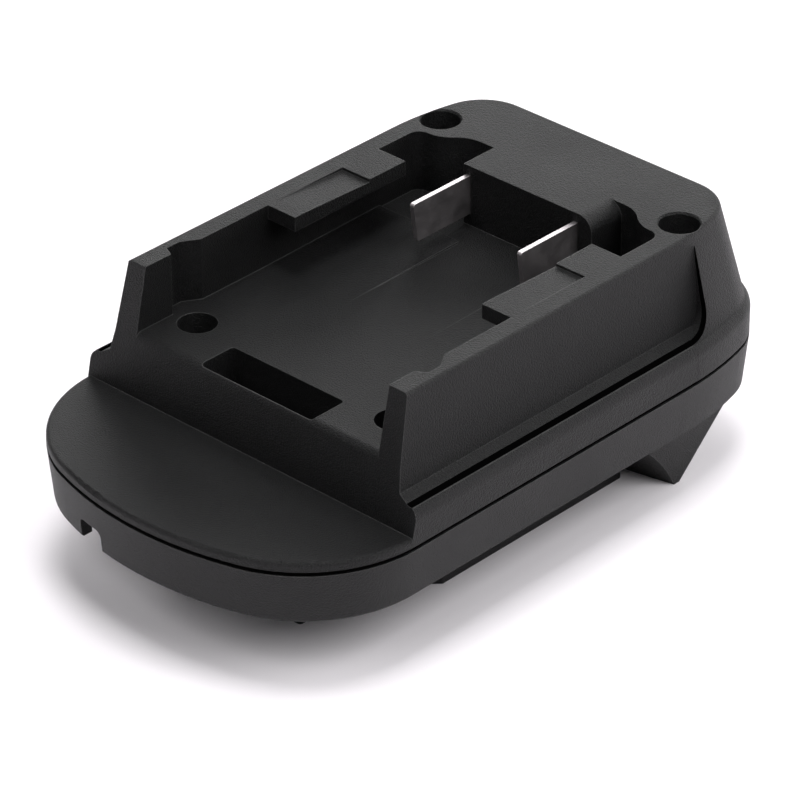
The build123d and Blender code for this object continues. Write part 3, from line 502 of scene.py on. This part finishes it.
def outline_x(y, inset):
    """X of the drawn-in outline at each Y: straight side, side arc, then rear corner arc."""
    sx, sy, sr = SIDE_ARC
    rx, ry, rr = REAR_CORNER
    change = (rx - sx) / np.hypot(rx - sx, ry - sy)
    side = sx + np.sqrt(np.maximum((sr - inset) ** 2 - (y - sy) ** 2, 0.0))
    rear = rx + np.sqrt(np.maximum((rr - inset) ** 2 - (y - ry) ** 2, 0.0))
    turn_y = sy + (sr - inset) * np.sqrt(1 - change**2)
    return np.where(y < sy, HALF_WIDTH - inset, np.where(y < turn_y, side, rear))


def shoulder_inset(z):
    """How far the raised body stands inside the outline at each height.

    It is the smaller of two: the flange's round, a quarter circle, and the straight drafted wall.
    """
    lift = np.clip(z - BODY_FOOT, 0.0, FLANGE_ROUND)
    quarter = FLANGE_ROUND - np.sqrt(FLANGE_ROUND**2 - lift**2)
    rounded = np.where(z > BODY_FOOT + FLANGE_ROUND, np.inf, quarter)
    wall = FOOT_INSET + DRAFT * (z - BODY_FOOT)
    return np.where(z > BODY_FOOT, np.minimum(rounded, wall), 0.0)


def closed_sheet(front, back):
    """Vertices and faces of a solid between two grids of points, its rim joined all round."""
    rows, columns = front.shape[:2]
    index = np.arange(rows * columns).reshape(rows, columns)
    a, b, c, d = index[:-1, :-1], index[1:, :-1], index[1:, 1:], index[:-1, 1:]
    face = np.stack([a, b, c, d], axis=-1).reshape(-1, 4)
    far = face[:, ::-1] + rows * columns
    rims = [index[:, 0][::-1], index[:, -1], index[0, :], index[-1, :][::-1]]
    edge = [
        np.stack([r[:-1], r[1:], r[1:] + rows * columns, r[:-1] + rows * columns], -1)[:, ::-1]
        for r in rims
    ]
    points = np.concatenate([front.reshape(-1, 3), back.reshape(-1, 3)])
    return points, np.concatenate([face, far, *edge]).tolist()


def fitting(name, points, faces, material, body):
    """A new piece from points in millimetres, its faces turned outwards, riding on a body."""
    mesh = bpy.data.meshes.new(name)
    mesh.from_pydata((points * MM).tolist(), [], faces)
    shape = bmesh.new()
    shape.from_mesh(mesh)
    bmesh.ops.recalc_face_normals(shape, faces=shape.faces)
    shape.to_mesh(mesh)
    shape.free()
    mesh.shade_smooth()
    mesh.set_sharp_from_angle(angle=SHARP_ANGLE)
    mesh.materials.append(material)
    piece = bpy.data.objects.new(name, mesh)
    bpy.context.scene.collection.objects.link(piece)
    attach(piece, body)
    return piece


def fitting_pair(name, front, back, material):
    """A solid between two grids of points on the right side, and its mirror on the left."""
    points, faces = closed_sheet(front, back)
    for side, word in ((1, "right"), (-1, "left")):
        place = points * (side, 1, 1)
        fitting(f"{name}_{word}", place, faces, material, SHELL_BODY)


def coil(low, high):
    """A compression spring that fills a box: a circle of wire carried along a helix.

    The helix rises by a wire's width over its first and last turn, and evenly over those between.
    """
    turns = np.linspace(0, SPRING_TURNS, SPRING_TURNS * SPRING_STEPS + 1)
    angle = 2 * pi * turns
    middle = (low + high) / 2
    reach = (high[0] - low[0]) / 2 - SPRING_WIRE / 2
    length = high[2] - low[2] - SPRING_WIRE
    closed = SPRING_WIRE * CLOSED_PITCH_SHARE
    known_turns = [0, 1, SPRING_TURNS - 1, SPRING_TURNS]
    rise = np.interp(turns, known_turns, [0, closed, length - closed, length])
    height = np.stack([angle * 0, angle * 0, low[2] + SPRING_WIRE / 2 + rise], axis=-1)
    out = np.stack([np.cos(angle), np.sin(angle), angle * 0], axis=-1)
    line = middle * (1, 1, 0) + out * reach + height
    along = np.gradient(line, axis=0)
    along /= np.linalg.norm(along, axis=1, keepdims=True)
    across = np.cross(along, out)
    turn = np.linspace(0, 2 * pi, WIRE_SIDES, endpoint=False)[None, :, None]
    ring = out[:, None] * np.cos(turn) + across[:, None] * np.sin(turn)
    points = (line[:, None] + ring * SPRING_WIRE / 2).reshape(-1, 3)
    index = np.arange(len(points)).reshape(-1, WIRE_SIDES)
    beside = np.roll(index, -1, axis=1)
    tube = np.stack([index[:-1], index[1:], beside[1:], beside[:-1]], axis=-1).reshape(-1, 4)
    return points, tube.tolist() + [index[0].tolist(), index[-1][::-1].tolist()]


def shoulder_grids():
    """Front and back points of the right shoulder: rows go up, columns go back.

    A point's X is the outline's at its Y, drawn in by the body's inset at its height. The sheet
    starts on a quarter circle that joins the shelf to the panel's end, and stops in the rear corner.
    """
    quarter = 1 - np.cos(np.linspace(0, pi / 2, CORNER_ROWS))
    z = np.concatenate(
        [
            np.linspace(SHEET_FOOT, BODY_FOOT, FLANGE_ROWS),
            np.linspace(BODY_FOOT, SHELF_BELOW, ROUND_ROWS)[1:],
            [SHELF_ABOVE],
            SHELF + PANEL_CORNER * quarter[1:],
            np.linspace(SHELF + PANEL_CORNER, PANEL_TOP, END_ROWS)[1:],
        ]
    )
    across = np.linspace(0, 1, SHEET_COLUMNS)
    below = np.clip(SHELF + PANEL_CORNER - z, 0, PANEL_CORNER)
    turned = PANEL_CORNER - np.sqrt(PANEL_CORNER**2 - below**2)
    start = (PANEL_END - SHEET_RISE - turned)[:, None]
    y = start + (SHEET_REAR - start) * across
    height = np.repeat(z[:, None], across.size, axis=1)
    # The borders dip under the shell's own surface, so that no edge of the sheet shows
    dip = np.zeros_like(height)
    dip[:, -1] = dip[-1, :] = SHEET_DIP
    dip[z < SHELF, 0] = SHEET_DIP
    inset = shoulder_inset(height) - SHEET_RISE + dip
    # Beside the panel the sheet's back goes in as far as the panel does, and closes its end
    beside_panel = (height > SHELF) & (y < PANEL_END + PANEL_END_ROOM)
    lean = PANEL_LEAN * np.maximum(height - SHELF - PANEL_CORNER, 0.0)
    depth = np.where(beside_panel, PANEL_BACK + lean, inset + SHEET_DEPTH)
    return [np.stack([outline_x(y, reach), y, height], axis=-1) for reach in (inset, depth)]


def groove_shadow_grids():
    """Front and back points of the dark sheet painted as shadow in the right foot groove: rows along
    it, columns across.

    It runs straight along the shelf, round a quarter circle at the panel's corner, and up the
    panel's end to a point. Across, it is level on the shelf's flat, and then climbs the slope.
    """
    straight = np.linspace(PANEL_FRONT, PANEL_END - PANEL_CORNER, STRAIGHT_ROWS)
    turn = np.linspace(0, pi / 2, TURN_ROWS)[1:]
    climb = np.linspace(SHELF + PANEL_CORNER, GROOVE_TOP, CLIMB_ROWS)[1:]
    level = straight * 0
    reach = PANEL_CORNER - GROOVE_GAP
    turn_y = PANEL_END - PANEL_CORNER + reach * np.sin(turn)
    turn_z = SHELF + GROOVE_GAP + reach * (1 - np.cos(turn))
    y = np.concatenate([straight, turn_y, climb * 0 + PANEL_END - GROOVE_GAP])
    z = np.concatenate([level + SHELF, turn_z, climb])
    body = shoulder_inset(z[straight.size:]) + GROOVE_GAP
    rim = np.concatenate([level + SHELF_INSET, np.maximum(body, SHELF_INSET)])
    broad = np.concatenate(
        [
            level + GROOVE_WIDTH,
            np.linspace(GROOVE_WIDTH, GROOVE_END_WIDTH, turn.size),
            np.linspace(GROOVE_END_WIDTH, GROOVE_TIP_WIDTH, climb.size),
        ]
    )
    across = np.stack([broad * 0 - GROOVE_OVERLAP, broad * GROOVE_MIDDLE_SHARE, broad], axis=-1)
    inset = rim[:, None] + across
    slope = SHELF + SHELF_SLOPE * np.maximum(across - SHELF_FLAT, 0)
    height = np.maximum(z[:, None], slope)
    place = y[:, None] + across * 0
    on_side = place <= PANEL_END - PANEL_CORNER
    x = np.where(on_side, HALF_WIDTH - inset, outline_x(place, inset))
    # The painted sheet faces up on the shelf and forward at the panel's end, so it is lifted that
    # way
    inward = np.concatenate([level, np.sin(turn), climb * 0 + 1])[:, None]
    return [
        np.stack([x, place - lift * inward, height + lift * (1 - inward)], axis=-1)
        for lift in (GROOVE_LIFT, -GROOVE_DEPTH)
    ]


def arc_points(arc, inset, first, last, count):
    """Points along an arc of the outline, its radius drawn in."""
    turn = np.linspace(first, last, count)
    radius = arc[2] - inset
    return np.stack([arc[0] + radius * np.cos(turn), arc[1] + radius * np.sin(turn)], axis=-1)


def outline_points(inset):
    """The drawn-in outline, from one edge of the button's slot round the front to the other."""
    lean = np.arctan2(FRONT_CORNER[0], FRONT_ARC[1] - FRONT_CORNER[1])
    swing = np.arctan2(REAR_CORNER[1] - SIDE_ARC[1], REAR_CORNER[0] - SIDE_ARC[0])
    front, front_corner, side, rear_corner = ARC_ROWS
    right = np.concatenate(
        [
            arc_points(FRONT_ARC, inset, -pi / 2, lean - pi / 2, front),
            arc_points(FRONT_CORNER, inset, lean - pi / 2, 0.0, front_corner)[1:],
            arc_points(SIDE_ARC, inset, 0.0, swing, side),
            arc_points(REAR_CORNER, inset, swing, pi / 2, rear_corner)[1:],
            [[BUTTON_EDGE, END_Y - inset]],
        ]
    )
    left = (right * (-1, 1))[::-1]
    return np.concatenate([left[:-1], right])


def seam_shadow_grid(inset):
    """Points of an upright band of painted shadow along the drawn-in outline: rows go round, columns
    go up.
    """
    line = outline_points(inset)
    flat = np.repeat(line[:, None, :], 2, axis=1)
    levels = np.array([SEAM_TOP, SEAM_TOP + SEAM_HEIGHT])
    up = np.repeat(levels[None, :, None], line.shape[0], axis=0)
    return np.concatenate([flat, up], axis=-1)


class ADAPTER_OT_springs(bpy.types.Operator):
    """Winds the latch's two compression springs, each filling its spring's box in place of the
    frame's own
    """

    bl_idname = "adapter.springs"
    bl_label = "Wind the springs"

    def execute(self, context):
        wire = bpy.data.materials["drawn_spring_wire"]
        for side in ("left", "right"):
            node_name = f"latch_spring_{side}"
            low, high = (np.array(corner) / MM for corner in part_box(node_name))
            points, faces = coil(low, high)
            piece = fitting(f"coil_spring_{side}", points, faces, wire, SHELL_BODY)
            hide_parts(node_name)
            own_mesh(piece)
        return {"FINISHED"}


class ADAPTER_OT_shoulders(bpy.types.Operator):
    """Carries the flange round each rear corner and rounds the panel's lower rear corner"""

    bl_idname = "adapter.shoulders"
    bl_label = "Round the rear shoulders"

    def execute(self, context):
        nylon = bpy.data.materials["shoulder_black_nylon"]
        fitting_pair("shoulder", *shoulder_grids(), nylon)
        return {"FINISHED"}


class ADAPTER_OT_shadow_lines(bpy.types.Operator):
    """Lays painted shadow: a dark sheet in the groove round each panel's foot, and a dark band in
    the step along the seam
    """

    bl_idname = "adapter.shadow_lines"
    bl_label = "Draw the groove and seam lines"

    def execute(self, context):
        # Painted shadow: a near-black, glossless sheet where the groove and the seam's step lie only
        # in shade
        dark = moulded_plastic("shadowed_nylon", "#030303", 0.95, edge_mm=0.02, gloss=0.0)
        fitting_pair("foot_groove_painted_shadow", *groove_shadow_grids(), dark)
        points, faces = closed_sheet(seam_shadow_grid(-SEAM_PROUD), seam_shadow_grid(SEAM_DEPTH))
        # Painted shadow: a black band in the step along the seam
        fitting("seam_painted_shadow", points, faces, dark, SHELL_BODY)
        return {"FINISHED"}


FLOOR_HALF = 6.0
FLOOR_COLOUR = "#FDF9FD"
LIGHT_TARGET = (0, 0, 0.03)
SENSOR_WIDTH = 36.0
AIR_LIGHT = 0.0

# Each light: name, place and size in metres, power in watts
LIGHTS = (
    ("overhead", (0.0, 0.0, 1.6), (0.5, 0.5), 12.2),
    ("over_right", (1.2, 0.2, 1.2), (1.2, 1.0), 17.5),
    ("over_front", (0.0, -1.2, 1.2), (1.2, 1.0), 11.0),
    ("over_rear_left", (-0.6, 0.6, 1.2), (0.8, 0.8), 6.0),
    ("rear_left", (-1.2, 1.2, 0.6), (1.0, 0.8), 10.0),
    ("rear", (0.2, 1.7, 0.55), (1.4, 0.8), 14.0),
)


def soft_box(name, place, size, power):
    """A rectangular studio light that faces the part."""
    data = bpy.data.lights.new(name, "AREA")
    data.shape = "RECTANGLE"
    data.size, data.size_y = size
    data.energy = power
    lamp = bpy.data.objects.new(name, data)
    lamp.location = place
    aim = Vector(LIGHT_TARGET) - Vector(place)
    lamp.rotation_euler = aim.to_track_quat("-Z", "Y").to_euler()
    bpy.context.scene.collection.objects.link(lamp)


class ADAPTER_OT_studio(bpy.types.Operator):
    """Lays the pale floor and sets the lights and the camera"""

    bl_idname = "adapter.studio"
    bl_label = "Set the studio"

    def execute(self, context):
        scene = context.scene
        ground = bpy.data.meshes.new("pale_floor")
        signs = ((-1, -1), (1, -1), (1, 1), (-1, 1))
        corners = [(x * FLOOR_HALF, y * FLOOR_HALF, 0) for x, y in signs]
        ground.from_pydata(corners, [], [(0, 1, 2, 3)])
        floor = bpy.data.objects.new("pale_floor", ground)
        scene.collection.objects.link(floor)
        # Matte white paper: no gloss, and the least tint of the photographed ground
        paper, tree = new_material("matte_white_paper")
        close(tree, node(tree, "ShaderNodeBsdfDiffuse", Color=colour(FLOOR_COLOUR)))
        ground.materials.append(paper)

        for light in LIGHTS:
            soft_box(*light)
        world = bpy.data.worlds.new("studio_air")
        world.use_nodes = True
        air = world.node_tree.nodes["Background"]
        air.inputs["Color"].default_value = (1, 1, 1, 1)
        air.inputs["Strength"].default_value = AIR_LIGHT
        scene.world = world
        scene.view_settings.view_transform = "Standard"

        studio = scene.adapter_studio
        lens = bpy.data.cameras.new("photo_camera")
        lens.sensor_width = SENSOR_WIDTH
        lens.sensor_fit = "HORIZONTAL"
        lens.lens = studio.lens
        lens.clip_start = 0.01
        lens.clip_end = 50.0
        camera = bpy.data.objects.new("photo_camera", lens)
        scene.collection.objects.link(camera)
        # The view's own axes from its azimuth and elevation, then turned by its roll
        a, e, r = studio.azimuth, studio.elevation, studio.roll
        right = Vector((cos(a), sin(a), 0.0))
        back = Vector((sin(a) * cos(e), -cos(a) * cos(e), sin(e)))
        up = back.cross(right)
        turned_right = right * cos(r) + up * sin(r)
        turned_up = up * cos(r) - right * sin(r)
        axes = Matrix((turned_right, turned_up, back)).transposed().to_4x4()
        camera.matrix_world = Matrix.Translation(studio.place) @ axes
        scene.camera = camera
        return {"FINISHED"}


class ADAPTER_PT_panel(bpy.types.Panel):
    bl_idname = "ADAPTER_PT_panel"
    bl_label = "Battery adapter"
    bl_space_type = "VIEW_3D"
    bl_region_type = "UI"
    bl_category = "Adapter"

    def draw(self, context):
        layout = self.layout
        for group in (context.scene.adapter_finish, context.scene.adapter_studio):
            for key in group.bl_rna.properties.keys():
                if key not in ("rna_type", "name"):
                    layout.prop(group, key)
        for operator in OPERATORS:
            layout.operator(operator.bl_idname)


OPERATORS = (
    ADAPTER_OT_dress_shells,
    ADAPTER_OT_dress_inside,
    ADAPTER_OT_dress_metals,
    ADAPTER_OT_springs,
    ADAPTER_OT_shoulders,
    ADAPTER_OT_shadow_lines,
    ADAPTER_OT_studio,
)
CLASSES = (AdapterFinish, AdapterStudio, *OPERATORS, ADAPTER_PT_panel)


def register():
    for each in CLASSES:
        bpy.utils.register_class(each)
    bpy.types.Scene.adapter_finish = bpy.props.PointerProperty(type=AdapterFinish)
    bpy.types.Scene.adapter_studio = bpy.props.PointerProperty(type=AdapterStudio)


def unregister():
    del bpy.types.Scene.adapter_studio
    del bpy.types.Scene.adapter_finish
    for each in reversed(CLASSES):
        bpy.utils.unregister_class(each)


def main():
    register()
    bpy.ops.adapter.dress_shells()
    bpy.ops.adapter.dress_inside()
    bpy.ops.adapter.dress_metals()
    bpy.ops.adapter.springs()
    bpy.ops.adapter.shoulders()
    bpy.ops.adapter.shadow_lines()
    bpy.ops.adapter.studio()


if __name__ == "__main__":
    main()
